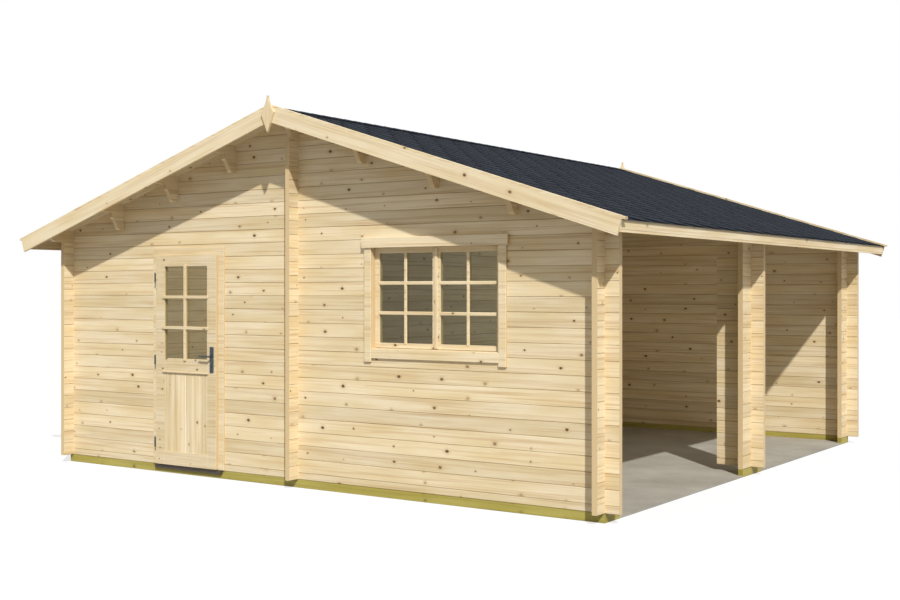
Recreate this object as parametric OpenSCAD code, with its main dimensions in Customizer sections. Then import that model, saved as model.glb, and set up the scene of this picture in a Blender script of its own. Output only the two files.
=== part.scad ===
// Log garage: one building of interlocking wall logs under a low gable roof.
// A partition under the ridge parts a closed store on the left from a car bay on the
// right, whose side is open in two bays between three short post walls.
// The gable with the door and the window faces -Y, the open side faces +X, +Z is up.
// The origin is on the ground, at the middle of the plan over the outer log faces.

/* [Logs] */
// Thickness of a wall log
log_t = 44; // [34:1:60]
// Height of one course of logs
course_h = 114; // [95:1:137]
// Chamfer along the edges of each log
log_chamfer = 4; // [1:0.5:8]
// How far the log ends stand out past a crossing wall
log_end = 115; // [80:1:180]

/* [Plan] */
// Width over the outer faces of the side walls
outer_w = 5790; // [4800:10:7000]
// Depth over the outer faces of the gable walls
outer_d = 5750; // [4600:10:7000]
// Length of a corner post wall, from the outer face of the gable wall inwards
corner_stub = 232; // [150:1:600]
// Length of the middle post wall on each side of its cross logs
middle_stub = 205; // [120:1:600]
// Length of the middle cross logs, from the outer side face inwards
cross_stub = 326; // [200:1:800]

/* [Heights] */
// Height of the foundation beams
beam_h = 70; // [45:1:120]
// Whole courses in the side walls, below the eaves logs
side_courses = 18; // [18:1:24]
// Height of an eaves log at its outer face
eaves_log_h = 90; // [70:1:110]
// Thickness of the concrete floor that shows between the beams
floor_t = 15; // [10:1:40]

/* [Roof] */
// Pitch of both roof slopes in degrees
pitch = 17.7; // [14:0.1:24]
// Overhang of the roof past the gable walls, to the face of the barge boards
gable_overhang = 341; // [250:1:600]
// Overhang of the roof past the side walls, to the face of the fascia boards
eaves_overhang = 285; // [180:1:500]
// Thickness of the roof boards
deck_t = 18; // [14:1:28]
// Thickness of the shingle covering
covering_t = 6; // [4:0.5:10]
// How far the covering reaches past the fascia boards
covering_lap = 16; // [2:1:24]
// Height of a purlin, top to underside
purlin_h = 228; // [150:1:240]
// Purlins on each slope, besides the ridge and the eaves
purlins_per_side = 3; // [2:1:5]

/* [Roof edges] */
// Thickness of the barge boards
barge_t = 20; // [14:1:32]
// Width of the barge boards, square to the slope
barge_w = 120; // [100:1:180]
// Thickness of the strips that cap the barge boards
cap_t = 18; // [10:1:28]
// Width of the cap strips, from the barge face inwards
cap_w = 45; // [35:1:90]
// How far the cap strips run past the ends of the barge boards
cap_end = 28; // [5:1:40]
// Thickness of the fascia boards
fascia_t = 20; // [14:1:32]
// Height of the fascia boards
fascia_h = 88; // [60:1:140]
// Height of the diamond finials
finial_h = 300; // [200:1:420]
// Width of the diamond finials
finial_w = 140; // [100:1:200]
// Thickness of the finials
finial_t = 20; // [14:1:32]

/* [Openings] */
// Height of the top of the door and window openings in the logs
opening_top = 2028; // [1980:1:2040]

/* [Door] */
// Middle of the door, left of the ridge line
door_x = -1275; // [-1500:1:-1000]
// Width of the door leaf over its overlapping lip
leaf_w = 758; // [650:1:900]
// Height of the door leaf over its overlapping lip
leaf_h = 1893; // [1780:1:1900]
// Thickness of the lip that overlaps the frame
leaf_lip_t = 25; // [18:1:35]
// Thickness of the part of the leaf that enters the frame
leaf_core_t = 20; // [15:1:30]
// How far the lip overlaps the frame
leaf_overlap = 15; // [10:1:25]
// Width of the leaf's stiles
leaf_stile = 110; // [80:1:140]
// Height of the leaf's top rail
leaf_top_rail = 100; // [80:1:140]
// Height of the leaf's middle and bottom rails
leaf_rail = 123; // [80:1:150]
// Height of the boarded panel under the middle rail
leaf_panel_h = 717; // [500:1:760]
// Frame that shows beside and above the leaf
door_margin = 68; // [45:1:90]
// How far the door frame stands proud of the logs
door_frame_proud = 14; // [8:1:25]

/* [Window] */
// Middle of the window, right of the ridge line
window_x = 1408; // [1250:1:1600]
// Clear width inside the window frame
window_w = 1206; // [800:1:1300]
// Course of logs that carries the window
sill_course = 9; // [7:1:10]
// Thickness of the window frame bars
window_bar = 30; // [22:1:40]
// Depth of the window frame from the outer log face
window_frame_d = 85; // [75:1:110]
// How far the sashes lie behind the outer log face
sash_setback = 39; // [20:1:45]
// Thickness of the sashes
sash_t = 40; // [30:1:45]
// Width of the sash bars beside the frame
sash_bar = 45; // [36:1:60]
// Width of the two bars where the sashes meet
meeting_bar = 36; // [30:1:50]
// Width of the window trim boards
trim_w = 70; // [50:1:90]
// Thickness of the window trim boards
trim_t = 18; // [12:1:25]
// Thickness of the head board over the window
head_t = 32; // [24:1:45]
// Height of the head board over the window
head_h = 83; // [60:1:110]

/* [Hidden] */
$fn = 32;

eps = 1;                 // how far a cutter passes the face it cuts
tall = 4000;             // a height well above the ridge
lay_gap = 0.1;           // gap between the layers of the roof
glass_t = 4;
door_gap = 7;            // side gap between the leaf's core and the frame
swing_gap = 5;           // other gaps round the leaf
threshold_t = 4;         // plate of the threshold
threshold_lip = 32;      // how far its front edge hangs down
threshold_proud = 22;

spruce = "#E6D2A4";
impregnated = "#AC9F53";
shingle = "#2E3640";
concrete = "#A8A196";
steel = "#4A5257";
pane = [0.75, 0.82, 0.85, 0.35];

// Plan
right = outer_w / 2;
left = -right;
back = outer_d / 2;
front = -back;
side_x = right - log_t / 2;              // centre line of the side walls

// Levels
wall_z = beam_h;                                     // underside of the first logs
eaves_z = wall_z + side_courses * course_h;          // underside of the eaves logs
function seam(k) = wall_z + (k + 0.5) * course_h;    // seam over course k of a gable wall
lintel_k = floor((opening_top - wall_z) / course_h - 0.5);
lintel_z = seam(lintel_k);                           // underside of the log over the door
gable_z = seam(lintel_k + 1);                        // top of that log
sill_z = seam(sill_course);                          // top of the log under the window

// Roof planes: heights over a distance x from the ridge line
rise = tan(pitch);
deck_zv = deck_t / cos(pitch);
covering_zv = covering_t / cos(pitch);
ridge_z = eaves_z + eaves_log_h + rise * right;      // underside of the boards at the ridge
function under(x) = ridge_z - rise * abs(x);
deck_level = lay_gap + deck_zv;                      // top of the boards over their bearing
covering_level = deck_level + lay_gap;               // underside of the shingles
roof_level = covering_level + covering_zv;           // top of the shingles
cap_level = roof_level + lay_gap + cap_t / cos(pitch);
fascia_x = right + eaves_overhang;                   // outer face of the fascia boards
deck_x = fascia_x - fascia_t;
deck_y = back + gable_overhang - barge_t;            // back of the barge boards
barge_x = fascia_x + covering_lap;

// Purlins
purlin_step = side_x / (purlins_per_side + 1);
function purlin_z(x) = under(x) - purlin_h;          // underside of a purlin
partition_top = purlin_z(0);
bracket_top = 139;                                   // reach of a purlin's bracket, from the wall
bracket_low = 43;                                    // where its underside starts to rise
bracket_lip = 44;                                    // height of the step over a bracket
tip_rise = 8;                                        // rise from there to a purlin's end
eaves_ogee = 200;                                    // where an eaves log starts to rise
eaves_tip = 0.4 * eaves_log_h;                       // height of an eaves log's end

// Door
leaf_x = door_x - leaf_w / 2;                        // hinge edge
leaf_z = wall_z + threshold_t + swing_gap;
leaf_top = leaf_z + leaf_h;
frame_face = front - door_frame_proud;
leaf_back = frame_face - swing_gap;                  // back of the lip
leaf_face = leaf_back - leaf_lip_t;
frame_half = leaf_w / 2 + door_margin;
door_clear = leaf_w / 2 - leaf_overlap;              // half of the frame's clear width
door_top = leaf_top + door_margin;
frame_cover = 30;                                    // how far the frame covers the logs
door_cut = frame_half - frame_cover;                 // half of the opening in the logs
door_right = door_x + door_cut;
frame_back = front + log_t + door_frame_proud;
glass_z = leaf_z + leaf_rail + leaf_panel_h + leaf_rail;
leaf_glass_h = leaf_top - leaf_top_rail - glass_z;
leaf_glass_w = leaf_w - 2 * leaf_stile;
leaf_glass_in = 15;                                  // depth of the pane behind the leaf's face
hinge_r = 8;
hinge_h = 90;
hinge_gap = 0.3;
strap_w = 30;                                        // strap on the leaf
strap_t = 3;
hinge_inset = 200;                                   // from the leaf's ends to the hinges
leaf_mid = leaf_z + leaf_h / 2;
hinge_reach = leaf_h / 2 - hinge_inset;
hinge_levels = [leaf_mid - hinge_reach, leaf_mid, leaf_mid + hinge_reach];
hinge_x = leaf_x - hinge_r - 2;                      // hinge axis, just off the leaf's corner
hinge_y = leaf_face - 2;

// Window
window_half = window_w / 2;
window_cut = window_half + window_bar;               // half of the opening in the logs
sash_face = front + sash_setback;
sill_rise = 12;                                      // upstand of the sill under the sashes
sash_z = sill_z + window_bar + sill_rise;
sash_top = opening_top - window_bar;
sash_gap = 3;
trim_half = window_half + trim_w;
trim_low = sill_z - 73;                              // lower ends of the side boards
sill_board = [sill_z - 43, sill_z + 34];             // edges of the board between them
head_z = opening_top - window_bar - 2;
head_end = 20;                                       // how far the head board passes the sides
sash_foot = 5;                                       // how much lower the sashes' foot bars are
pane_in = 12;                                        // depth of the panes in the sashes

// ---------------------------------------------------------------- helpers

// Outline across a stack of logs between two heights, with a V at every seam
function log_levels(lo, hi, phase) =
    let (n = ceil((hi - wall_z) / course_h) + 1)
    concat([lo],
        [for (k = [0:n]) let (z = wall_z + (k + phase) * course_h)
            if (z > lo + 2 * log_chamfer && z < hi - 2 * log_chamfer) z],
        [hi]);

module log_outline(lo, hi, phase) {
    levels = log_levels(lo, hi, phase);
    last = len(levels) - 1;
    half = log_t / 2;
    c = log_chamfer;
    going_up = [for (i = [0:last - 1]) each [
        [half - c, levels[i]],
        [half, levels[i] + c],
        [half, levels[i + 1] - c]
    ]];
    coming_down = [for (i = [last:-1:1]) each [
        [c - half, levels[i]],
        [-half, levels[i] - c],
        [-half, levels[i - 1] + c]
    ]];
    polygon(concat(going_up, [[half - c, hi]], coming_down, [[c - half, lo]]));
}

// Logs along X between x0 and x1, centred on y
module x_logs(x0, x1, y, lo, hi) {
    translate([x0, y, 0]) rotate([90, 0, 90])
        linear_extrude(x1 - x0) log_outline(lo, hi, 0.5);
}

// Logs along Y between y0 and y1, centred on x
module y_logs(y0, y1, x, lo, hi) {
    translate([x, y1, 0]) rotate([90, 0, 0])
        linear_extrude(y1 - y0) log_outline(lo, hi, 1);
}

// Halvings cut in X logs where Y logs cross them at x, y, up to the level top_z
module x_notches(x, y, top_z) {
    n = floor((top_z - wall_z) / course_h);
    for (k = [0:n]) {
        translate([x - log_t / 2, y - log_t / 2 - eps, wall_z + (k + 0.25) * course_h])
            cube([log_t, log_t + 2 * eps, course_h / 2]);
    }
}

// Halvings cut in Y logs where X logs cross them at x, y, up to the level top_z
module y_notches(x, y, top_z) {
    n = floor((top_z - wall_z) / course_h);
    translate([x - log_t / 2 - eps, y - log_t / 2, wall_z - eps])
        cube([log_t + 2 * eps, log_t, course_h / 4 + eps]);
    for (k = [1:n + 1]) {
        translate([x - log_t / 2 - eps, y - log_t / 2, wall_z + (k - 0.25) * course_h])
            cube([log_t + 2 * eps, log_t, course_h / 2]);
    }
}

// Everything above the underside of the roof boards
module above_roof() {
    reach = fascia_x + 200;
    translate([0, deck_y + 500, 0]) rotate([90, 0, 0])
        linear_extrude(2 * deck_y + 1000)
            polygon([[-reach, under(reach)], [0, ridge_z], [reach, under(reach)],
                     [reach, tall], [-reach, tall]]);
}

// A flat shape drawn in X and Z, run along Y between y0 and y1
module along_y(y0, y1) {
    translate([0, y1, 0]) rotate([90, 0, 0]) linear_extrude(y1 - y0) children();
}

// A flat shape drawn in Y and Z, log_t thick, centred on x
module across_log(x) {
    translate([x - log_t / 2, 0, 0]) rotate([90, 0, 90]) linear_extrude(log_t) children();
}

module box(x0, x1, y0, y1, z0, z1) {
    translate([x0, y0, z0]) cube([x1 - x0, y1 - y0, z1 - z0]);
}

// ---------------------------------------------------------------- foundation and floor

module foundation_front() {
    color(impregnated) box(left, right, front, front + log_t, 0, beam_h);
}

module foundation_back() {
    color(impregnated) box(left, right, back - log_t, back, 0, beam_h);
}

module foundation_long_beams() {
    color(impregnated) {
        box(left, left + log_t, front + log_t, back - log_t, 0, beam_h);
        box(-log_t / 2, log_t / 2, front + log_t, back - log_t, 0, beam_h);
    }
}

module foundation_post_beams() {
    reach = log_t / 2 + middle_stub;
    color(impregnated) {
        box(right - log_t, right, front + log_t, front + corner_stub, 0, beam_h);
        box(right - log_t, right, -reach, reach, 0, beam_h);
        box(right - log_t, right, back - corner_stub, back - log_t, 0, beam_h);
    }
}

module concrete_floor() {
    reach = log_t / 2 + middle_stub;
    color(concrete) {
        box(left + log_t, -log_t / 2, front + log_t, back - log_t, 0, floor_t);
        difference() {
            box(log_t / 2, right, front + log_t, back - log_t, 0, floor_t);
            box(right - log_t, right + eps, front, front + corner_stub, -eps, floor_t + eps);
            box(right - log_t, right + eps, -reach, reach, -eps, floor_t + eps);
            box(right - log_t, right + eps, back - corner_stub, back, -eps, floor_t + eps);
        }
    }
}

// ---------------------------------------------------------------- gable walls

front_y = front + log_t / 2;
back_y = back - log_t / 2;

// Halvings of a gable wall at both corners and at the partition
module gable_notches(y) {
    top_side = eaves_z - course_h / 2;
    x_notches(-side_x, y, top_side);
    x_notches(side_x, y, top_side);
    x_notches(0, y, partition_top);
}

// Seats cut in a gable for the eaves logs and the purlins, which pass right through
module roof_seats(y) {
    half = log_t / 2;
    for (s = [-1, 1]) {
        box(s * side_x - half, s * side_x + half, y - half - eps, y + half + eps,
            eaves_z + course_h / 4, tall);
        for (i = [1:purlins_per_side]) {
            x = s * i * purlin_step;
            box(x - half, x + half, y - half - eps, y + half + eps, purlin_z(x), tall);
        }
    }
    box(-half, half, y - half - eps, y + half + eps, partition_top, tall);
}

module gable_logs(x0, x1, y, lo, hi) {
    difference() {
        x_logs(x0, x1, y, lo, hi);
        gable_notches(y);
    }
}

module gable_top(y, lo) {
    difference() {
        gable_logs(left - log_end, right + log_end, y, lo, ridge_z);
        roof_seats(y);
        above_roof();
    }
}

module front_wall_left() {
    color(spruce) gable_logs(left - log_end, door_x - door_cut, front_y, wall_z, lintel_z);
}

module front_wall_base() {
    color(spruce) gable_logs(door_right, right + log_end, front_y, wall_z, sill_z);
}

module front_wall_centre() {
    color(spruce) gable_logs(door_right, window_x - window_cut, front_y, sill_z, lintel_z);
}

module front_wall_right() {
    color(spruce)
        gable_logs(window_x + window_cut, right + log_end, front_y, sill_z, lintel_z);
}

module front_lintel_log() {
    color(spruce) difference() {
        gable_logs(left - log_end, right + log_end, front_y, lintel_z, gable_z);
        box(door_x - door_cut, door_right, front - eps, front + log_t + eps,
            lintel_z - eps, opening_top);
        box(window_x - window_cut, window_x + window_cut, front - eps, front + log_t + eps,
            lintel_z - eps, opening_top);
    }
}

module front_gable() {
    color(spruce) gable_top(front_y, gable_z);
}

module back_wall() {
    color(spruce) gable_logs(left - log_end, right + log_end, back_y, wall_z, gable_z);
}

module back_gable() {
    color(spruce) gable_top(back_y, gable_z);
}

// ---------------------------------------------------------------- side walls and posts

module left_wall() {
    color(spruce) difference() {
        y_logs(front - log_end, back + log_end, -side_x, wall_z, eaves_z);
        y_notches(-side_x, front_y, eaves_z);
        y_notches(-side_x, back_y, eaves_z);
    }
}

module partition_wall() {
    color(spruce) difference() {
        y_logs(front - log_end, back + log_end, 0, wall_z, partition_top);
        y_notches(0, front_y, partition_top);
        y_notches(0, back_y, partition_top);
    }
}

module front_corner_post() {
    color(spruce) difference() {
        y_logs(front - log_end, front + corner_stub, side_x, wall_z, eaves_z);
        y_notches(side_x, front_y, eaves_z);
    }
}

module back_corner_post() {
    color(spruce) difference() {
        y_logs(back - corner_stub, back + log_end, side_x, wall_z, eaves_z);
        y_notches(side_x, back_y, eaves_z);
    }
}

module middle_post() {
    reach = log_t / 2 + middle_stub;
    color(spruce) difference() {
        y_logs(-reach, reach, side_x, wall_z, eaves_z);
        y_notches(side_x, 0, eaves_z);
    }
}

module middle_cross_logs() {
    color(spruce) difference() {
        x_logs(right - cross_stub, right + log_end, 0, wall_z, eaves_z + course_h / 2);
        x_notches(side_x, 0, eaves_z - course_h / 2);
        box(side_x - log_t / 2, side_x + log_t / 2, -log_t, log_t,
            eaves_z + course_h / 4, tall);
        above_roof();
    }
}

// ---------------------------------------------------------------- purlins

// Ogee from one point to another: level at both ends, steepest in the middle
function ogee(from, to) = [for (i = [0:8]) let (s = i / 8)
    [from[0] + (to[0] - from[0]) * s,
     from[1] + (to[1] - from[1]) * (1 - cos(180 * s)) / 2]];

// Closes an outline given by the points of its +Y end, from the top down, by mirroring them
module both_ends(points) {
    polygon(concat(points, [for (i = [len(points) - 1:-1:0]) [-points[i][0], points[i][1]]]));
}

// End of a purlin: the upper part reaches the barge board, the lower part is a bracket
function purlin_end(lo, hi) =
    let (mid = lo + purlin_h / 2)
    concat([[deck_y, hi]],
        ogee([deck_y, mid + bracket_lip + tip_rise], [back + bracket_top, mid + bracket_lip]),
        ogee([back + bracket_top, mid], [back + bracket_low, lo]));

module purlin(x) {
    difference() {
        across_log(x) both_ends(purlin_end(purlin_z(x), under(x) + log_t));
        above_roof();
    }
}

module ridge_purlin() {
    color(spruce) purlin(0);
}

module side_purlins() {
    color(spruce) for (s = [-1, 1], i = [1:purlins_per_side]) purlin(s * i * purlin_step);
}

// End of an eaves log, one course high
function eaves_log_end() =
    concat([[deck_y, eaves_z + eaves_log_h + log_t]],
        ogee([deck_y, eaves_z + eaves_log_h - eaves_tip], [back + eaves_ogee, eaves_z]));

module eaves_log(x) {
    difference() {
        across_log(x) both_ends(eaves_log_end());
        for (y = [front_y, 0, back_y]) {
            if (y != 0 || x > 0)
                translate([x - log_t, y - log_t / 2, eaves_z - eps])
                    cube([2 * log_t, log_t, course_h / 4 + eps]);
        }
        above_roof();
    }
}

module eaves_log_left() {
    color(spruce) eaves_log(-side_x);
}

module eaves_log_right() {
    color(spruce) eaves_log(side_x);
}

// ---------------------------------------------------------------- roof

// A layer on the right slope, from the ridge out to x1
module slope_layer(x1, y1, z_low, thick) {
    along_y(-y1, y1)
        polygon([[0, ridge_z + z_low], [x1, under(x1) + z_low],
                 [x1, under(x1) + z_low + thick], [0, ridge_z + z_low + thick]]);
}

module roof_deck_right() {
    color(spruce) slope_layer(deck_x, deck_y, lay_gap, deck_zv);
}

module roof_deck_left() {
    color(spruce) mirror([1, 0, 0]) slope_layer(deck_x, deck_y, lay_gap, deck_zv);
}

module roof_covering_right() {
    color(shingle) slope_layer(barge_x, deck_y, covering_level, covering_zv);
}

module roof_covering_left() {
    color(shingle) mirror([1, 0, 0]) slope_layer(barge_x, deck_y, covering_level, covering_zv);
}

// Board that follows the right slope from x0 to its square-cut end at x1, its top edge at
// the level z_top over the roof boards' underside
module slope_board(x0, x1, z_top, width, y0, y1) {
    end = [x1, under(x1) + z_top];
    along_y(y0, y1)
        polygon([[x0, under(x0) + z_top], end,
                 [end[0] - width * sin(pitch), end[1] - width * cos(pitch)],
                 [x0, under(x0) + z_top - width / cos(pitch)]]);
}

module barge(flip_x, flip_y) {
    mirror([flip_x, 0, 0]) mirror([0, flip_y, 0])
        slope_board(0, barge_x, roof_level, barge_w, deck_y, deck_y + barge_t);
}

module barge_front_left() {
    color(spruce) barge(1, 1);
}

module barge_front_right() {
    color(spruce) barge(0, 1);
}

module barge_back_left() {
    color(spruce) barge(1, 0);
}

module barge_back_right() {
    color(spruce) barge(0, 0);
}

module barge_caps() {
    face = deck_y + barge_t;
    cap_joint = 0.5;                                 // half of the joint at the ridge
    color(spruce) for (fx = [0, 1], fy = [0, 1])
        mirror([fx, 0, 0]) mirror([0, fy, 0])
            slope_board(cap_joint, barge_x + cap_end, cap_level, cap_t, face - cap_w, face);
}

// Diamond with hollow shoulders above and straight sides below
module finial(face) {
    peak = ridge_z + cap_level;
    top = peak + 0.23 * finial_h;
    wide = top - 0.47 * finial_h;
    half = finial_w / 2;
    shoulder = [for (i = [0:8]) let (s = i / 8)
        [half * (0.92 * pow(1 - s, 1.8) + 0.08), wide + (top - wide) * s]];
    mirrored = [for (i = [len(shoulder) - 1:-1:0]) [-shoulder[i][0], shoulder[i][1]]];
    along_y(face, face + finial_t)
        polygon(concat([[0, top - finial_h]], shoulder, mirrored));
}

module finials() {
    color(spruce) for (fy = [0, 1]) mirror([0, fy, 0]) finial(deck_y + barge_t);
}

module fascias() {
    top = under(fascia_x) + deck_level;
    color(spruce) for (fx = [0, 1]) mirror([fx, 0, 0])
        box(deck_x, fascia_x, -deck_y, deck_y, top - fascia_h, top);
}

// ---------------------------------------------------------------- door

module door_frame() {
    stop_w = 12;                                     // width of the strip that stops the leaf
    stop = door_clear - stop_w;
    stop_y = leaf_back + leaf_core_t + swing_gap;
    color(spruce) difference() {
        union() {
            box(door_x - frame_half, door_x + frame_half, frame_face, front, wall_z, door_top);
            box(door_x - door_cut, door_right, front, front + log_t,
                wall_z + threshold_t, opening_top);
            box(door_x - frame_half, door_x + frame_half, front + log_t, frame_back,
                wall_z, door_top);
        }
        box(door_x - door_clear, door_x + door_clear, frame_face - eps, stop_y,
            wall_z - eps, leaf_top - leaf_overlap);
        box(door_x - stop, door_x + stop, stop_y - eps, frame_back + eps,
            wall_z - eps, leaf_top - leaf_overlap - stop_w);
        box(door_x - frame_half - eps, door_x + frame_half + eps,
            frame_face - eps, frame_back + eps, wall_z - eps, wall_z + threshold_t);
    }
}

module door_threshold() {
    color(steel) {
        box(door_x - door_cut, door_right, front - threshold_proud, front + log_t,
            wall_z, wall_z + threshold_t);
        box(door_x - door_cut, door_right, front - threshold_proud, front,
            wall_z - threshold_lip, wall_z);
    }
}

module door_leaf() {
    core_in = leaf_overlap + door_gap;
    panel_in = 6;                                    // how far the boards lie behind the stiles
    glass_x = leaf_x + leaf_stile;
    panel_z = leaf_z + leaf_rail;
    color(spruce) difference() {
        union() {
            box(leaf_x, leaf_x + leaf_w, leaf_face, leaf_back, leaf_z, leaf_top);
            box(leaf_x + core_in, leaf_x + leaf_w - core_in, leaf_back,
                leaf_back + leaf_core_t, leaf_z, leaf_top - core_in);
        }
        box(glass_x, glass_x + leaf_glass_w, leaf_face - eps, leaf_back + leaf_core_t + eps,
            glass_z, glass_z + leaf_glass_h);
        box(glass_x, glass_x + leaf_glass_w, leaf_face - eps, leaf_face + panel_in,
            panel_z, panel_z + leaf_panel_h);
        box(glass_x, glass_x + leaf_glass_w, leaf_back + leaf_core_t - panel_in,
            leaf_back + leaf_core_t + eps, panel_z, panel_z + leaf_panel_h);
    }
}

module door_glass() {
    glass_x = leaf_x + leaf_stile;
    glass_y = leaf_face + leaf_glass_in;
    color(pane) box(glass_x, glass_x + leaf_glass_w, glass_y, glass_y + glass_t,
                    glass_z, glass_z + leaf_glass_h);
}

plate_w = 44;
plate_h = 229;
plate_t = 6;
plate_in = 49;                                       // its middle, from the closing edge
plate_x = leaf_x + leaf_w - plate_in;
plate_low = leaf_z + 850;
lever_z = plate_low + 144;
lever_gap = 0.3;
spindle = [9, 46];                                   // radius and length
grip = [8, 130];

module door_backplate() {
    color(steel) box(plate_x - plate_w / 2, plate_x + plate_w / 2,
                     leaf_face - plate_t, leaf_face, plate_low, plate_low + plate_h);
}

module door_lever() {
    base = leaf_face - plate_t - lever_gap;
    color(steel) {
        translate([plate_x, base, lever_z]) rotate([90, 0, 0])
            cylinder(h = spindle[1], r = spindle[0]);
        translate([plate_x, base - spindle[1] + grip[0], lever_z]) rotate([0, -90, 0])
            cylinder(h = grip[1], r = grip[0]);
    }
}

// Upper halves of the hinges, on the leaf
module door_hinges() {
    color(steel) for (z = hinge_levels) {
        translate([hinge_x, hinge_y, z]) cylinder(h = hinge_h / 2, r = hinge_r);
        box(hinge_x, leaf_x + strap_w, leaf_face - strap_t, leaf_face, z, z + hinge_h / 2);
    }
}

// Lower halves of the hinges, on the frame
module hinge_pins() {
    low_h = hinge_h / 2 - hinge_gap;
    outer = hinge_x - hinge_r;
    color(steel) for (z = hinge_levels) {
        translate([hinge_x, hinge_y, z - hinge_h / 2]) cylinder(h = low_h, r = hinge_r);
        box(outer, outer + strap_t, hinge_y, frame_face, z - hinge_h / 2, z - hinge_gap);
    }
}

// ---------------------------------------------------------------- window

module window_frame() {
    y1 = front + window_frame_d;
    color(spruce) difference() {
        box(window_x - window_cut, window_x + window_cut, front, y1, sill_z, opening_top);
        box(window_x - window_half, window_x + window_half, front - eps, y1 + eps,
            sash_z - sash_gap, sash_top + sash_gap);
    }
}

sash_ends = [window_x - window_half, window_x - sash_gap / 2];

module sash_hole(lo, hi) {
    box(sash_ends[0] + sash_bar, sash_ends[1] - meeting_bar, lo, hi,
        sash_z + sash_bar - sash_foot, sash_top - sash_bar);
}

module both_sashes() {
    children();
    translate([2 * window_x, 0, 0]) mirror([1, 0, 0]) children();
}

module window_sashes() {
    color(spruce) both_sashes() difference() {
        box(sash_ends[0], sash_ends[1], sash_face, sash_face + sash_t, sash_z, sash_top);
        sash_hole(sash_face - eps, sash_face + sash_t + eps);
    }
}

module window_glass() {
    color(pane) both_sashes()
        sash_hole(sash_face + pane_in, sash_face + pane_in + glass_t);
}

module window_trim() {
    face = front - trim_t;
    color(spruce) {
        for (s = [-1, 1]) {
            a = window_x + s * window_half;
            b = window_x + s * trim_half;
            box(min(a, b), max(a, b), face, front, trim_low, head_z);
        }
        box(window_x - window_half, window_x + window_half, face, front,
            sill_board[0], sill_board[1]);
        box(window_x - trim_half - head_end, window_x + trim_half + head_end,
            front - head_t, front, head_z, head_z + head_h);
    }
}

// ---------------------------------------------------------------- nodes

foundation_front();
foundation_back();
foundation_long_beams();
foundation_post_beams();
concrete_floor();
front_wall_left();
front_wall_base();
front_wall_centre();
front_wall_right();
front_lintel_log();
front_gable();
back_wall();
back_gable();
left_wall();
partition_wall();
front_corner_post();
middle_post();
middle_cross_logs();
back_corner_post();
eaves_log_left();
eaves_log_right();
ridge_purlin();
side_purlins();
roof_deck_left();
roof_deck_right();
roof_covering_left();
roof_covering_right();
barge_front_left();
barge_front_right();
barge_back_left();
barge_back_right();
barge_caps();
finials();
fascias();
door_frame();
door_threshold();
door_leaf();
door_glass();
door_backplate();
door_lever();
door_hinges();
hinge_pins();
window_frame();
window_sashes();
window_glass();
window_trim();
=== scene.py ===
"""Looks of the log garage: planed spruce logs and joinery, shingles, panes and ironwork.

Every length is in metres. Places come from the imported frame, and the sizes below are
those of the real boards, bars, shingles and fittings.
"""
import math

import bmesh
import bpy
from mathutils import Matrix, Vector


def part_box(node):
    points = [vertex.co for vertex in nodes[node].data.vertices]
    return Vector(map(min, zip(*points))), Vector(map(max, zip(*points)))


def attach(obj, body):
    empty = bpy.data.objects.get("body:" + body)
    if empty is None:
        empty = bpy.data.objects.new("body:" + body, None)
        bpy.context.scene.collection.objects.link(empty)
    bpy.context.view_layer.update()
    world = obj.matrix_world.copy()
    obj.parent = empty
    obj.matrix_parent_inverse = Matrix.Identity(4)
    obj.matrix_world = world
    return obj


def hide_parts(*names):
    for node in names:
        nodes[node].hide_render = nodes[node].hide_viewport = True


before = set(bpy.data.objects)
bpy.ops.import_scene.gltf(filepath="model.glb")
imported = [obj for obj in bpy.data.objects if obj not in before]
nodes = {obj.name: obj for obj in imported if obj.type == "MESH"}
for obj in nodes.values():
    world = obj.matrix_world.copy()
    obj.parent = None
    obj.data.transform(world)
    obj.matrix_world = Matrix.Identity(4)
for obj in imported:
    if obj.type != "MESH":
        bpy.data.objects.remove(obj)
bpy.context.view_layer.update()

X, Y, Z = 0, 1, 2

# ---------------------------------------------------------------- sizes

SIDE_COURSES = 18                     # log courses in a side wall
BEAM_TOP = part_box("foundation_front")[1].z
COURSE = (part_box("left_wall")[1].z - BEAM_TOP) / SIDE_COURSES

PITCH = math.radians(17.7)
DECK_T = 0.018                        # roof boards
DECK_BOARD = 0.090                    # their cover width
DECK_V = 0.004                        # chamfer of their V joints

TAB_W = 0.333                         # shingle tab, three to a strip
TAB_SHOW = 0.145                      # exposed height of a row
TAB_CUT = 0.30 * TAB_W                # how far each side tapers in
TAB_T = 0.0028                        # thickness of a shingle
TAB_SLIT = 0.005                      # slit between two tabs

BOARD_GAP = 0.0003                    # gap between boards side by side
ARRIS = 0.0015                        # eased edge of a planed board
SASH_ARRIS = 0.002                    # of a sash
TRIM_ARRIS = 0.003                    # of trim boards and the door's moulding
BAR_ARRIS = 0.004                     # of glazing bars and the meeting strip

LEAF_BOARDS = 6                       # upright boards in the door's lower panel
LEAF_BOARD_V = 0.004                  # their V joint
LEAF_LIP_T = 0.025                    # thickness of the leaf's lip
LEAF_LIP = 0.015                      # overlap of the leaf on the frame
LEAF_SIDE_GAP = 0.007                 # gap between the leaf's core and the frame
LEAF_RAIL = 0.123                     # height of its middle and foot rails
CASING_LAP = 0.030                    # how far the door's casings cover the wall
STOP_W = 0.012                        # width of the door stop
LINING_TOP = 2.028                    # top of the lining over the door

MEET = 0.036                          # meeting stile of a sash
SASH_GAP = 0.003                      # gap round a sash
SASH_BAR = 0.045                      # outer stile and head of a sash
SASH_FOOT = 0.040                     # foot rail of a sash
TRIM_T = 0.018                        # thickness of the window's trim boards
HEAD_END = 0.020                      # how far the head board runs past them
HEAD_H = 0.083                        # height of the head board
SILL_RISE = 0.030                     # foot of the side boards up to the sill board
SILL_H = 0.077                        # height of the sill board

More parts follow.
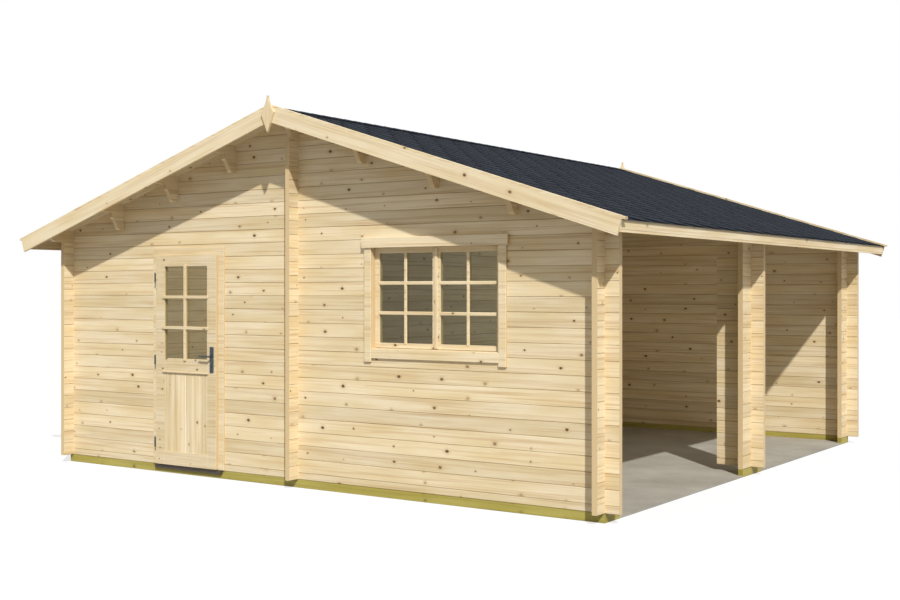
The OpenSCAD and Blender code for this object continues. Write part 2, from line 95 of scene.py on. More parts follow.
BAR_DOOR = 0.028                      # glazing bars on the door
BAR_WINDOW_UP = 0.025                 # upright glazing bars of the window
BAR_WINDOW_LEVEL = 0.028              # level glazing bars of the window
BAR_LAP = 0.018                       # how far the door's bars run past the pane
BAR_PROUD = 0.014                     # half of their depth, at the face of the leaf

CAP_IN = 0.045                        # width of the cap strips on the roof's edges
RIDGE_REACH = 0.12                    # ridge shingle down each slope
RIDGE_FOLD = 0.012                    # where its fold begins

SUN_FROM = (0.517, -0.517, 0.682)     # towards the sun
SUN_STRENGTH = 3.8
SUN_WIDTH = 1.2                       # degrees
SKY_STRENGTH = 0.44
FLOOR_BOUNCE = 0.34                   # reflectance of pale grey ground
CAMERA_AT = (6.99, -10.83, 1.655)
CAMERA_LOOK = (-0.5635, 0.8261, 0.0)


# ---------------------------------------------------------------- node and mesh helpers

def linear(colour):
    """Linear RGBA of an sRGB hex colour."""
    parts = [int(colour[i:i + 2], 16) / 255 for i in (1, 3, 5)]
    return tuple(p / 12.92 if p <= 0.04045 else ((p + 0.055) / 1.055) ** 2.4
                 for p in parts) + (1.0,)


def add(tree, kind, inputs=None, **settings):
    """Adds a node with its settings; each input is a value or another node's output."""
    made = tree.nodes.new(kind)
    for key, value in settings.items():
        setattr(made, key, value)
    for key, value in (inputs or {}).items():
        if isinstance(value, bpy.types.NodeSocket):
            tree.links.new(value, made.inputs[key])
        else:
            made.inputs[key].default_value = value
    return made


MATH = "ShaderNodeMath"
MIX = "ShaderNodeMix"
RANGE = "ShaderNodeMapRange"
NOISE = "ShaderNodeTexNoise"
COMBINE = "ShaderNodeCombineXYZ"
VECTOR = "ShaderNodeVectorMath"


def new_material(name):
    """A material, its tree and its Principled shader."""
    material = bpy.data.materials.new(name)
    material.use_nodes = True
    return material, material.node_tree, material.node_tree.nodes["Principled BSDF"]


def new_object(name, mesh):
    made = bpy.data.objects.new(name, mesh)
    bpy.context.scene.collection.objects.link(made)
    return made


def mesh_from(bm, name, finishes):
    """A mesh object from a bmesh, its faces turned outwards."""
    bmesh.ops.recalc_face_normals(bm, faces=bm.faces[:])
    mesh = bpy.data.meshes.new(name)
    bm.to_mesh(mesh)
    bm.free()
    for finish in finishes:
        mesh.materials.append(finish)
    return new_object(name, mesh)


# ---------------------------------------------------------------- wood

KNOT_STEP = 0.42                      # one knot site to this length of log
KNOT_NONE = 0.42                      # share of the sites that stay empty
KNOT_SMALL = 0.0025                   # radius of the smallest knot
KNOT_LARGE = 0.0125                   # radius of the largest
BOARD_CELL = 0.09                     # width that a board's own knots and rings take
PURLIN_H = 0.23                       # height of one purlin
ONE_BOARD = 0.4                       # more than a barge board's height: no joint shows
RING_STEP = 0.006                     # growth rings on sawn ends
GRAIN_JUMP = 37.0                     # shift of the figure from board to board
PAINTED_JOINT_SHADE = 0.40                     # strength of the painted shade line in a log joint
FIBRE = 0.006                         # drawn coarser than the real 1 mm, so that it shows
JOINT = 0.004                         # half of the width of the painted shade line in a log joint
STREAK = 0.020                        # bands of early and late wood on a flat-sawn face


def spruce(name, along, across, tones, course=None, turn=0.0, knots=1.0):
    """Planed spruce, sawn and left bare: pale straw with fine fibre and satin light,
    warmer bands of late wood, and brown knots with a darker rim. tones are its pale,
    warm, streak and knot colours. course is the first seam and the height of stacked logs;
    without it, each board has its own number in the attribute board."""
    material, tree, shader = new_material(name)
    place = add(tree, "ShaderNodeTexCoord")
    local = place.outputs["Object"]
    if turn:
        local = add(tree, "ShaderNodeMapping", {"Vector": local, "Rotation": (0, turn, 0)}
                    ).outputs[0]
    split = add(tree, "ShaderNodeSeparateXYZ", {0: local})
    third = 3 - along - across
    a, b, c = (split.outputs[i] for i in (along, across, third))
    if course:
        level = add(tree, MATH, {0: b, 1: course[0]}, operation="SUBTRACT").outputs[0]
        level = add(tree, MATH, {0: level, 1: course[1]}, operation="DIVIDE").outputs[0]
        board = add(tree, MATH, {0: level}, operation="FLOOR").outputs[0]
        cell_h = course[1]
    else:
        cell_h = BOARD_CELL
        board = add(tree, "ShaderNodeAttribute", attribute_name="board").outputs["Fac"]
        level = add(tree, MATH, {0: b, 1: cell_h}, operation="DIVIDE").outputs[0]
    chance = add(tree, "ShaderNodeTexWhiteNoise", {"W": board}, noise_dimensions="1D")
    shift = add(tree, MATH, {0: chance.outputs["Value"], 1: GRAIN_JUMP, 2: a},
                operation="MULTIPLY_ADD").outputs[0]

    # Knots: one site to a cell, its radius by chance, and some sites stay empty
    u = add(tree, MATH, {0: shift, 1: KNOT_STEP}, operation="DIVIDE").outputs[0]
    site = add(tree, COMBINE, {0: u, 1: level}).outputs[0]
    cell = add(tree, "ShaderNodeTexVoronoi", {"Vector": site, "Scale": 1.0,
               "Randomness": 0.62}, voronoi_dimensions="2D")
    away = add(tree, VECTOR, {0: site, 1: cell.outputs["Position"]}, operation="SUBTRACT")
    away = add(tree, VECTOR, {0: away.outputs[0], 1: (KNOT_STEP * 0.72, cell_h, 0)},
               operation="MULTIPLY")
    reach = add(tree, VECTOR, {0: away.outputs[0]}, operation="LENGTH").outputs["Value"]
    tint = add(tree, "ShaderNodeSeparateColor", {0: cell.outputs["Color"]})
    radius = add(tree, RANGE, {0: tint.outputs[0], 1: 0.35, 2: 1.0, 3: KNOT_SMALL,
                               4: KNOT_LARGE * knots}).outputs[0]
    there = add(tree, MATH, {0: tint.outputs[0], 1: KNOT_NONE},
                operation="GREATER_THAN").outputs[0]
    ragged = add(tree, NOISE, {"Vector": local, "Scale": 90.0, "Detail": 2.0}).outputs[0]
    ragged = add(tree, RANGE, {0: ragged, 3: 0.7, 4: 1.3}).outputs[0]
    near = add(tree, MATH, {0: reach, 1: radius}, operation="DIVIDE").outputs[0]
    near = add(tree, MATH, {0: near, 1: ragged}, operation="MULTIPLY").outputs[0]
    knot = add(tree, RANGE, {0: near, 1: 0.8, 2: 1.15, 3: 1.0, 4: 0.0}).outputs[0]
    knot = add(tree, MATH, {0: knot, 1: there}, operation="MULTIPLY").outputs[0]
    sound = add(tree, RANGE, {0: tint.outputs[1], 1: 0.2, 2: 0.7, 3: 0.35, 4: 1.0}).outputs[0]
    knot = add(tree, MATH, {0: knot, 1: sound}, operation="MULTIPLY").outputs[0]
    halo = add(tree, RANGE, {0: near, 1: 1.0, 2: 3.2, 3: 0.55, 4: 0.0},
               interpolation_type="SMOOTHSTEP").outputs[0]
    halo = add(tree, MATH, {0: halo, 1: there}, operation="MULTIPLY").outputs[0]

    # Fibre and bands, drawn out along the grain and bent round the knots
    bend = add(tree, MATH, {0: halo, 1: STREAK, 2: b}, operation="MULTIPLY_ADD").outputs[0]
    fibre_at = add(tree, COMBINE, {0: shift, 1: bend, 2: c}).outputs[0]
    stretch = add(tree, VECTOR, {0: fibre_at, 1: (2.2, 1 / FIBRE, 1 / FIBRE)},
                  operation="MULTIPLY").outputs[0]
    fibre = add(tree, NOISE, {"Vector": stretch, "Scale": 1.0, "Detail": 4.0,
                              "Roughness": 0.6}).outputs[0]
    stretch = add(tree, VECTOR, {0: fibre_at, 1: (0.9, 1 / STREAK, 1 / STREAK)},
                  operation="MULTIPLY").outputs[0]
    band = add(tree, NOISE, {"Vector": stretch, "Scale": 1.0, "Detail": 5.0,
                             "Roughness": 0.55, "Distortion": 0.4}).outputs[0]
    patch_at = add(tree, VECTOR, {0: fibre_at, 1: (1.4, 7.0, 7.0)}, operation="MULTIPLY")
    patch = add(tree, NOISE, {"Vector": patch_at.outputs[0], "Scale": 1.0, "Detail": 2.0})

    fibre_mix = add(tree, RANGE, {0: fibre, 1: 0.35, 2: 0.7}).outputs[0]
    band_mix = add(tree, RANGE, {0: band, 1: 0.48, 2: 0.72}).outputs[0]
    patch_mix = add(tree, RANGE, {0: patch.outputs[0], 1: 0.38, 2: 0.64}).outputs[0]
    pale, warm, streak, knot_brown = (linear(t) for t in tones)
    body = add(tree, MIX, {0: patch_mix, 6: pale, 7: warm}, data_type="RGBA").outputs[2]
    strength = add(tree, MATH, {0: band_mix, 1: 0.7}, operation="MULTIPLY").outputs[0]
    body = add(tree, MIX, {0: strength, 6: body, 7: streak}, data_type="RGBA").outputs[2]
    strength = add(tree, MATH, {0: fibre_mix, 1: 0.22}, operation="MULTIPLY").outputs[0]
    body = add(tree, MIX, {0: strength, 6: body, 7: streak}, data_type="RGBA").outputs[2]
    shade = add(tree, RANGE, {0: chance.outputs["Value"], 3: 0.90, 4: 1.05}).outputs[0]
    body = add(tree, VECTOR, {0: body, "Scale": shade}, operation="SCALE").outputs[0]
    strength = add(tree, MATH, {0: halo, 1: 0.6}, operation="MULTIPLY").outputs[0]
    body = add(tree, MIX, {0: strength, 6: body, 7: streak}, data_type="RGBA").outputs[2]
    body = add(tree, MIX, {0: knot, 6: body, 7: knot_brown}, data_type="RGBA").outputs[2]
    # Painted shade: a dark line along each log joint, where shade falls between the logs, deeper
    # in some patches than others
    if course:
        joint = add(tree, MATH, {0: level, 1: 0.5}, operation="PINGPONG").outputs[0]
        joint = add(tree, RANGE, {0: joint, 1: JOINT / 2 / course[1], 2: JOINT / course[1],
                                  3: PAINTED_JOINT_SHADE, 4: 0.0}).outputs[0]
        joint_shade_patch = add(tree, RANGE, {0: patch.outputs[0], 1: 0.35, 2: 0.6, 3: 0.5, 4: 1.1}
                    ).outputs[0]
        joint = add(tree, MATH, {0: joint, 1: joint_shade_patch}, operation="MULTIPLY").outputs[0]
        body = add(tree, MIX, {0: joint, 6: body, 7: knot_brown},
                   data_type="RGBA").outputs[2]

    # Sawn ends: growth rings round a pith under the log, a little darker than the face
    if not turn:
        facing = add(tree, "ShaderNodeSeparateXYZ", {0: place.outputs["Normal"]}
                     ).outputs[along]
        facing = add(tree, MATH, {0: facing}, operation="ABSOLUTE").outputs[0]
        end = add(tree, MATH, {0: facing, 1: 0.8}, operation="GREATER_THAN").outputs[0]
        pith = add(tree, MATH, {0: level}, operation="FRACT").outputs[0]
        pith = add(tree, MATH, {0: pith, 1: cell_h, 2: 0.02}, operation="MULTIPLY_ADD")
        rings = add(tree, COMBINE, {0: pith.outputs[0], 1: c}).outputs[0]
        rings = add(tree, VECTOR, {0: rings}, operation="LENGTH").outputs["Value"]
        rings = add(tree, MATH, {0: rings, 1: math.tau / RING_STEP}, operation="MULTIPLY")
        rings = add(tree, MATH, {0: rings.outputs[0]}, operation="SINE").outputs[0]
        rings = add(tree, RANGE, {0: rings, 1: -1.0, 2: 1.0, 3: 0.25, 4: 0.75}).outputs[0]
        sawn = add(tree, MIX, {0: rings, 6: warm, 7: streak}, data_type="RGBA").outputs[2]
        body = add(tree, MIX, {0: end, 6: body, 7: sawn}, data_type="RGBA").outputs[2]

    rough = add(tree, RANGE, {0: fibre, 3: 0.5, 4: 0.68}).outputs[0]
    bump = add(tree, "ShaderNodeBump", {"Height": fibre, "Strength": 0.25,
                                        "Distance": 0.0006}).outputs[0]
    for key, value in (("Base Color", body), ("Roughness", rough), ("Normal", bump)):
        tree.links.new(value, shader.inputs[key])
    shader.inputs["Specular IOR Level"].default_value = 0.35
    return material


BARE = ("#ECDCB9", "#E1CC9F", "#C2A173", "#684B30")
GREEN = ("#B4A85A", "#A89A48", "#8A7C34", "#5A4520")

x_logs = spruce("planed_spruce_logs_across", X, Z, BARE, (BEAM_TOP + COURSE / 2, COURSE))
y_logs = spruce("planed_spruce_logs_deep", Y, Z, BARE, (BEAM_TOP, COURSE))
purlin_wood = spruce("planed_spruce_purlins", Y, Z, BARE, (0.0, PURLIN_H), knots=1.2)
upright = spruce("planed_spruce_upright_boards", Z, X, BARE, knots=0.8)
level_x = spruce("planed_spruce_level_boards", X, Z, BARE, knots=0.8)
level_y = spruce("planed_spruce_deep_boards", Y, Z, BARE, knots=0.8)
slope_right = spruce("planed_spruce_right_slope", X, Y, BARE, turn=-PITCH)
slope_left = spruce("planed_spruce_left_slope", X, Y, BARE, turn=PITCH)
barge_right = spruce("planed_spruce_right_barge", X, Z, BARE, (0.0, ONE_BOARD), turn=-PITCH)
barge_left = spruce("planed_spruce_left_barge", X, Z, BARE, (0.0, ONE_BOARD), turn=PITCH)
green_x = spruce("impregnated_spruce_across", X, Z, GREEN, (0.0, BEAM_TOP))
green_y = spruce("impregnated_spruce_deep", Y, Z, GREEN, (0.0, BEAM_TOP))


# ---------------------------------------------------------------- other finishes

def bitumen_shingle():
    """Bitumen felt with crushed slate pressed in: matt blue-grey granules, and darker bands
    printed at the head of each tab, which also paint the shade cast by the row above."""
    material, tree, shader = new_material("bitumen_shingle_granules")
    local = add(tree, "ShaderNodeTexCoord").outputs["Object"]
    grit = add(tree, "ShaderNodeTexVoronoi", {"Vector": local, "Scale": 1 / 0.004})
    grit = add(tree, "ShaderNodeSeparateColor", {0: grit.outputs["Color"]}).outputs[0]
    cloud = add(tree, NOISE, {"Vector": local, "Scale": 9.0, "Detail": 5.0}).outputs[0]
    tab = add(tree, "ShaderNodeAttribute", attribute_name="board").outputs["Fac"]
    tab = add(tree, "ShaderNodeTexWhiteNoise", {"W": tab}, noise_dimensions="1D").outputs[0]
    # Painted shade: head darkens the top of each tab's exposed part, a printed band that also
    # stands for the shade under the row above
    head = add(tree, "ShaderNodeAttribute", attribute_name="head").outputs["Fac"]
    dark, light = linear("#0B0F15"), linear("#222A35")
    mixed = add(tree, MATH, {0: grit, 1: 0.5, 2: -0.1}, operation="MULTIPLY_ADD").outputs[0]
    mixed = add(tree, MATH, {0: tab, 1: 0.30, 2: mixed}, operation="MULTIPLY_ADD").outputs[0]
    mixed = add(tree, MATH, {0: cloud, 1: 0.5, 2: mixed}, operation="MULTIPLY_ADD").outputs[0]
    mixed = add(tree, MATH, {0: head, 1: -0.45, 2: mixed}, operation="MULTIPLY_ADD",
                use_clamp=True).outputs[0]
    colour = add(tree, MIX, {0: mixed, 6: dark, 7: light}, data_type="RGBA").outputs[2]
    bump = add(tree, "ShaderNodeBump", {"Height": grit, "Strength": 0.5,
                                        "Distance": 0.001}).outputs[0]
    tree.links.new(colour, shader.inputs["Base Color"])
    tree.links.new(bump, shader.inputs["Normal"])
    shader.inputs["Roughness"].default_value = 0.9
    shader.inputs["Specular IOR Level"].default_value = 0.12
    return material


def floated_concrete():
    """Concrete floated by hand: warm grey, clouded, with fine pores."""
    material, tree, shader = new_material("floated_concrete")
    local = add(tree, "ShaderNodeTexCoord").outputs["Object"]
    cloud = add(tree, NOISE, {"Vector": local, "Scale": 1.3, "Detail": 8.0,
                              "Roughness": 0.62}).outputs[0]
    grain = add(tree, NOISE, {"Vector": local, "Scale": 120.0, "Detail": 3.0}).outputs[0]
    mixed = add(tree, RANGE, {0: cloud, 1: 0.3, 2: 0.7}).outputs[0]
    colour = add(tree, MIX, {0: mixed, 6: linear("#918C80"), 7: linear("#AEA99D")},
                 data_type="RGBA").outputs[2]
    fleck = add(tree, RANGE, {0: grain, 1: 0.35, 2: 0.65, 3: 0.9, 4: 1.06}).outputs[0]
    colour = add(tree, VECTOR, {0: colour, "Scale": fleck}, operation="SCALE").outputs[0]
    rough = add(tree, RANGE, {0: cloud, 3: 0.7, 4: 0.9}).outputs[0]
    bump = add(tree, "ShaderNodeBump", {"Height": grain, "Strength": 0.3,
                                        "Distance": 0.001}).outputs[0]
    for key, value in (("Base Color", colour), ("Roughness", rough), ("Normal", bump)):
        tree.links.new(value, shader.inputs[key])
    return material


def painted_steel(name, tone, worn, roughness):
    """Cast and pressed steel under satin paint, a little lighter where hands rub it."""
    material, tree, shader = new_material(name)
    local = add(tree, "ShaderNodeTexCoord").outputs["Object"]
    wear = add(tree, NOISE, {"Vector": local, "Scale": 60.0, "Detail": 6.0}).outputs[0]
    rubbed = add(tree, RANGE, {0: wear, 1: 0.5, 2: 0.75}).outputs[0]
    colour = add(tree, MIX, {0: rubbed, 6: linear(tone), 7: linear(worn)},
                 data_type="RGBA").outputs[2]
    rough = add(tree, RANGE, {0: wear, 3: roughness - 0.06, 4: roughness + 0.1}).outputs[0]
    tree.links.new(colour, shader.inputs["Base Color"])
    tree.links.new(rough, shader.inputs["Roughness"])
    shader.inputs["Metallic"].default_value = 0.35
    return material


def float_glass():
    """Clear float glass: sees through, with a mirror sheen that grows at a low angle,
    and faint ripple from the rolls."""
    material, tree, shader = new_material("float_glass")
    local = add(tree, "ShaderNodeTexCoord").outputs["Object"]
    ripple = add(tree, NOISE, {"Vector": local, "Scale": 3.0, "Detail": 1.0}).outputs[0]
    bump = add(tree, "ShaderNodeBump", {"Height": ripple, "Strength": 0.05,
                                        "Distance": 0.002}).outputs[0]
    facing = add(tree, "ShaderNodeLayerWeight", {"Blend": 0.5}).outputs["Facing"]
    sheen = add(tree, MATH, {0: facing, 1: 5.0}, operation="POWER").outputs[0]
    sheen = add(tree, MATH, {0: sheen, 1: 0.96, 2: 0.04}, operation="MULTIPLY_ADD").outputs[0]
    clear = add(tree, "ShaderNodeBsdfTransparent", {"Color": linear("#E6E8E0")}).outputs[0]
    tree.links.new(bump, shader.inputs["Normal"])
    shader.inputs["Base Color"].default_value = linear("#C9CFCC")
    shader.inputs["Roughness"].default_value = 0.02
    shader.inputs["Metallic"].default_value = 1.0
    both = add(tree, "ShaderNodeMixShader", {0: sheen, 1: clear, 2: shader.outputs[0]})
    tree.links.new(both.outputs[0], tree.nodes["Material Output"].inputs["Surface"])
    return material


shingle = bitumen_shingle()
concrete = floated_concrete()
dark_steel = painted_steel("painted_steel_ironwork", "#3C464B", "#59646A", 0.38)
sill_steel = painted_steel("painted_steel_threshold", "#4A4138", "#5C5348", 0.55)
glass = float_glass()

FINISHES = {
    x_logs: ["front_wall_left", "front_wall_base", "front_wall_centre", "front_wall_right",
             "front_lintel_log", "front_gable", "back_wall", "back_gable",
             "middle_cross_logs"],
    y_logs: ["left_wall", "partition_wall", "front_corner_post", "middle_post",
             "back_corner_post"],
    purlin_wood: ["eaves_log_left", "eaves_log_right", "ridge_purlin", "side_purlins",
                  "fascias"],
    barge_right: ["barge_front_right", "barge_back_right"],
    barge_left: ["barge_front_left", "barge_back_left"],
    upright: ["finials", "door_frame", "door_leaf"],
    level_x: ["window_frame", "window_sashes", "window_trim", "barge_caps"],
    green_x: ["foundation_front", "foundation_back"],
    green_y: ["foundation_long_beams", "foundation_post_beams"],
    slope_right: ["roof_deck_right"],
    slope_left: ["roof_deck_left"],
    shingle: ["roof_covering_left", "roof_covering_right"],
    concrete: ["concrete_floor"],
    dark_steel: ["door_backplate", "door_lever", "door_hinges", "hinge_pins"],
    sill_steel: ["door_threshold"],
    glass: ["door_glass", "window_glass"],
}
for finish, names in FINISHES.items():
    for name in names:
        nodes[name].data.materials.clear()
        nodes[name].data.materials.append(finish)


# ---------------------------------------------------------------- what repeats

def repeat_tree():
    """Rows and columns of one piece, each with its number in the attribute board."""
    tree = bpy.data.node_groups.new("rows_and_columns", "GeometryNodeTree")
    for name, kind in (("Piece", "Object"), ("Columns", "Int"), ("Rows", "Int"),
                       ("Column step", "Vector"), ("Row step", "Vector"),
                       ("Stagger", "Vector"), ("First number", "Int"),
                       ("Finish", "Material")):
        tree.interface.new_socket(name, in_out="INPUT", socket_type="NodeSocket" + kind)
    tree.interface.new_socket("Geometry", in_out="OUTPUT",
                              socket_type="NodeSocketGeometry")
    given = add(tree, "NodeGroupInput").outputs
    count = add(tree, MATH, {0: given["Columns"], 1: given["Rows"]}, operation="MULTIPLY")
    index = add(tree, "GeometryNodeInputIndex").outputs[0]
    row = add(tree, MATH, {0: index, 1: given["Columns"]}, operation="DIVIDE").outputs[0]
    row = add(tree, MATH, {0: row, 1: 0.0001}, operation="ADD").outputs[0]
    row = add(tree, MATH, {0: row}, operation="FLOOR").outputs[0]
    past = add(tree, MATH, {0: row, 1: given["Columns"]}, operation="MULTIPLY").outputs[0]
    column = add(tree, MATH, {0: index, 1: past}, operation="SUBTRACT").outputs[0]
    odd = add(tree, MATH, {0: row, 1: 2.0}, operation="MODULO").outputs[0]
    place = None
    for step, times in (("Column step", column), ("Row step", row), ("Stagger", odd)):
        part = add(tree, VECTOR, {0: given[step], "Scale": times}, operation="SCALE")
        place = part.outputs[0] if place is None else add(
            tree, VECTOR, {0: place, 1: part.outputs[0]}, operation="ADD").outputs[0]
    points = add(tree, "GeometryNodePoints", {"Count": count.outputs[0],
                                              "Position": place})
    piece = add(tree, "GeometryNodeObjectInfo", {"Object": given["Piece"]})
    copies = add(tree, "GeometryNodeInstanceOnPoints",
                 {"Points": points.outputs[0], "Instance": piece.outputs["Geometry"]})
    number = add(tree, MATH, {0: index, 1: given["First number"]}, operation="ADD")
    tagged = add(tree, "GeometryNodeStoreNamedAttribute",
                 {"Geometry": copies.outputs[0], "Name": "board",
                  "Value": number.outputs[0]}, data_type="FLOAT", domain="INSTANCE")
    real = add(tree, "GeometryNodeRealizeInstances", {0: tagged.outputs[0]})
    done = add(tree, "GeometryNodeSetMaterial",
               {"Geometry": real.outputs[0], "Material": given["Finish"]})
    add(tree, "NodeGroupOutput", {0: done.outputs[0]})
    return tree


rows_and_columns = repeat_tree()


def repeated(name, piece, finish, columns, rows, column_step, row_step=(0, 0, 0),
             stagger=(0, 0, 0), first=0):
    """Copies of a piece as one plain mesh; the piece itself is used up."""
    made = new_object(name, bpy.data.meshes.new(name))
    modifier = made.modifiers.new("rows", "NODES")
    modifier.node_group = rows_and_columns
    values = {"Piece": piece, "Columns": columns, "Rows": rows,
              "Column step": column_step, "Row step": row_step, "Stagger": stagger,
              "First number": first, "Finish": finish}
    for item in rows_and_columns.interface.items_tree:
        if item.in_out == "INPUT":
            modifier[item.identifier] = values[item.name]
    graph = bpy.context.evaluated_depsgraph_get()
    mesh = bpy.data.meshes.new_from_object(made.evaluated_get(graph), depsgraph=graph)
    made.modifiers.clear()
    made.data = mesh
    bpy.data.objects.remove(piece)
    return made


def trimmed(made, cuts):
    """Cuts a mesh at planes, each a point and a normal, and keeps what lies behind them."""
    bm = bmesh.new()
    bm.from_mesh(made.data)
    for point, normal in cuts:
        every = bm.verts[:] + bm.edges[:] + bm.faces[:]
        cut = bmesh.ops.bisect_plane(bm, geom=every, plane_co=point, plane_no=normal,
                                     clear_outer=True)
        edges = [e for e in cut["geom_cut"] if isinstance(e, bmesh.types.BMEdge)]
        bmesh.ops.holes_fill(bm, edges=edges, sides=8)
    bm.to_mesh(made.data)
    bm.free()
    return made


def slab(bm, sections):
    """A closed strip through sections, all rings of as many points."""
    rings = [[bm.verts.new(p) for p in ring] for ring in sections]
    size = len(rings[0])
    for low, high in zip(rings, rings[1:]):
        for i in range(size):
            j = (i + 1) % size
            bm.faces.new((low[i], low[j], high[j], high[i]))
    bm.faces.new(rings[0])
    bm.faces.new(rings[-1])
    return rings


# ---------------------------------------------------------------- roof

covering_lo, covering_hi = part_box("roof_covering_right")
deck_lo, deck_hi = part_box("roof_deck_right")
caps_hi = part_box("barge_caps")[1]
DECK_Z = deck_hi.z - DECK_T / math.cos(PITCH)       # underside of the boards at the ridge
FELT_Z = deck_hi.z + 0.0002 / math.cos(PITCH)       # underside of the shingles there
SLOPE = covering_hi.x / math.cos(PITCH)             # length of a slope over the shingles


def on_slope(side, s, y, h, z):
    """The point s down a slope, at y, h square to it over its plane through z at the ridge."""
    return (side * (s * math.cos(PITCH) + h * math.sin(PITCH)), y,
            z - s * math.sin(PITCH) + h * math.cos(PITCH))


def shingle_tab(side, s0):
    """One tab, from its hidden head at s0 down to its foot, which lies on the row below."""
    bm = bmesh.new()
    head = bm.verts.layers.float.new("head")
    half = (TAB_W - TAB_SLIT) / 2
    # The third number of each station is head: the darker band at the top of the exposed part,
    # printed and also painted shade under the row above, fading out a quarter of a row down
    stations = ((0.0, half, 1.0), (TAB_SHOW, half, 0.8),
                (TAB_SHOW * 1.25, half - TAB_CUT / 4, 0.1),
                (2 * TAB_SHOW, half - TAB_CUT, 0.0))
    sections = []
    for s, wide, _ in stations:
        low = 0.0006 + TAB_T * s / TAB_SHOW
        sections.append([on_slope(side, s0 + s, y, h, FELT_Z) for y, h in
                         ((-wide, low), (wide, low), (wide, low + TAB_T), (-wide, low + TAB_T))])
    rings = slab(bm, sections)
    for ring, (_, _, shade) in zip(rings, stations):
        for vert in ring:
            vert[head] = shade
    return mesh_from(bm, "tab", [])


def joined(first, others):
    """One object from several that share their finishes."""
    with bpy.context.temp_override(active_object=first, selected_editable_objects=[first]
                                   + others):
        bpy.ops.object.join()
    return first


def shingle_rows(side, name):
    """Rows of tabs over one slope, trimmed at its edges, and the felt under them."""
    rows = math.ceil(SLOPE / TAB_SHOW) + 1
    columns = math.ceil(2 * covering_hi.y / TAB_W) + 2
    tab = shingle_tab(side, SLOPE - 2 * TAB_SHOW - 0.004)
    for vert in tab.data.vertices:
        vert.co.y -= TAB_W * (columns - 1) / 2
    up = (-side * TAB_SHOW * math.cos(PITCH), 0, TAB_SHOW * math.sin(PITCH))
    rows_made = repeated(name, tab, shingle, columns, rows, (0, TAB_W, 0), up,
                         (0, TAB_W / 2, 0), 1000 if side > 0 else 5000)
    edge = caps_hi.y - CAP_IN - 0.001
    trimmed(rows_made, [((0, edge, 0), (0, 1, 0)), ((0, -edge, 0), (0, -1, 0)),
                        ((side * 0.002, 0, 0), (-side, 0, 0))])
    felt = bmesh.new()
    slab(felt, [[on_slope(side, s, y, h, FELT_Z) for y, h in
                 ((covering_lo.y, 0), (covering_hi.y, 0), (covering_hi.y, 0.0005),
                  (covering_lo.y, 0.0005))] for s in (0.001, SLOPE - 0.002)])
    under = mesh_from(felt, "felt", [shingle])
    return joined(rows_made, [under])


def ridge_tiles():
    """Single tabs folded over the ridge, each lapping the one before."""
    bm = bmesh.new()
    count = math.floor(2 * (caps_hi.y - CAP_IN) / TAB_SHOW)
    start = -count * TAB_SHOW / 2
    rise = TAB_T * 1.3
    layer = bm.verts.layers.float.new("board")
    for i in range(count):
        y0 = start + i * TAB_SHOW
        ends = ((y0, 0.0), (min(y0 + 1.6 * TAB_SHOW, -start), rise))
        sections = []
        for s, side in ((RIDGE_REACH, -1), (RIDGE_FOLD, -1), (0.0, 1), (RIDGE_FOLD, 1),
                        (RIDGE_REACH, 1)):
            drop = 0.0012 if s == RIDGE_FOLD else 0.0
            lift = 3 * TAB_T + 0.0008 - (0.0015 if s == 0 else 0)
            ring = []
            for (y, h), t in ((ends[0], 0), (ends[1], 0), (ends[1], TAB_T), (ends[0], TAB_T)):
                ring.append(on_slope(side, s, y, lift - drop + (rise - h) + t, FELT_Z))
            sections.append(ring)
        for ring in slab(bm, sections):
            for vert in ring:
                vert[layer] = 9000 + i
    return mesh_from(bm, "ridge_shingles", [shingle])


def deck_boards(side, name):
    """Tongued and grooved boards down a slope, with a V joint at each edge below."""
    count = round((deck_hi.y - deck_lo.y) / DECK_BOARD)
    width = (deck_hi.y - deck_lo.y) / count
    gap = BOARD_GAP
    profile = ((gap, DECK_T), (width - gap, DECK_T), (width - gap, DECK_V),
               (width - DECK_V, 0.0), (DECK_V, 0.0), (gap, DECK_V))
    bm = bmesh.new()
    sections = []
    for x in (0.0005, deck_hi.x):
        sections.append([(side * x, deck_lo.y + y,
                          DECK_Z - x * math.tan(PITCH) + h / math.cos(PITCH))
                         for y, h in profile])
    slab(bm, sections)
    board = mesh_from(bm, "board", [])
    return repeated(name, board, slope_right if side > 0 else slope_left, count, 1,
                    (0, width, 0), first=100 if side > 0 else 300)


for side, hand in ((1, "right"), (-1, "left")):
    rows_made = shingle_rows(side, "shingles_" + hand)
    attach(rows_made, "building")
    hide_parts("roof_covering_" + hand)
    boards_made = deck_boards(side, "roof_boards_" + hand)
    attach(boards_made, "building")
    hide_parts("roof_deck_" + hand)
ridge = ridge_tiles()
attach(ridge, "building")


# ---------------------------------------------------------------- joinery

def joinery(name, boards, body, replaced=(), chamfer=ARRIS, first=0):
    """Planed boards with eased edges as one piece. Each is its two corners and the axis
    of its grain, and may end in its own chamfer."""
    bm = bmesh.new()
    layer = bm.verts.layers.float.new("board")
    finishes = [level_x, level_y, upright]
    for number, (lo, hi, grain, *own) in enumerate(boards):
        made = bmesh.ops.create_cube(bm, size=1.0)["verts"]
        for vert in made:
            vert.co = [l + (h - l) * (v + 0.5) for l, h, v in zip(lo, hi, vert.co)]
        edges = list({e for v in made for e in v.link_edges})
        bmesh.ops.bevel(bm, geom=edges, offset=own[0] if own else chamfer,
                        segments=1, affect="EDGES")
        for face in bm.faces:
            if not face.tag:
                face.tag = True
                face.material_index = grain
                for vert in face.verts:
                    vert[layer] = first + number
    made = mesh_from(bm, name, finishes)
    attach(made, body)
    if replaced:
        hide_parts(*replaced)
    return made


leaf_lo, leaf_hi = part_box("door_leaf")
pane_lo, pane_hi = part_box("door_glass")
door_frame_lo, door_frame_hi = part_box("door_frame")
wall_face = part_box("foundation_front")[0].y
wall_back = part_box("foundation_front")[1].y

lip_back = leaf_lo.y + LEAF_LIP_T
core_in = LEAF_LIP + LEAF_SIDE_GAP
mid_rail_z = pane_lo.z - LEAF_RAIL
panel_z = leaf_lo.z + LEAF_RAIL


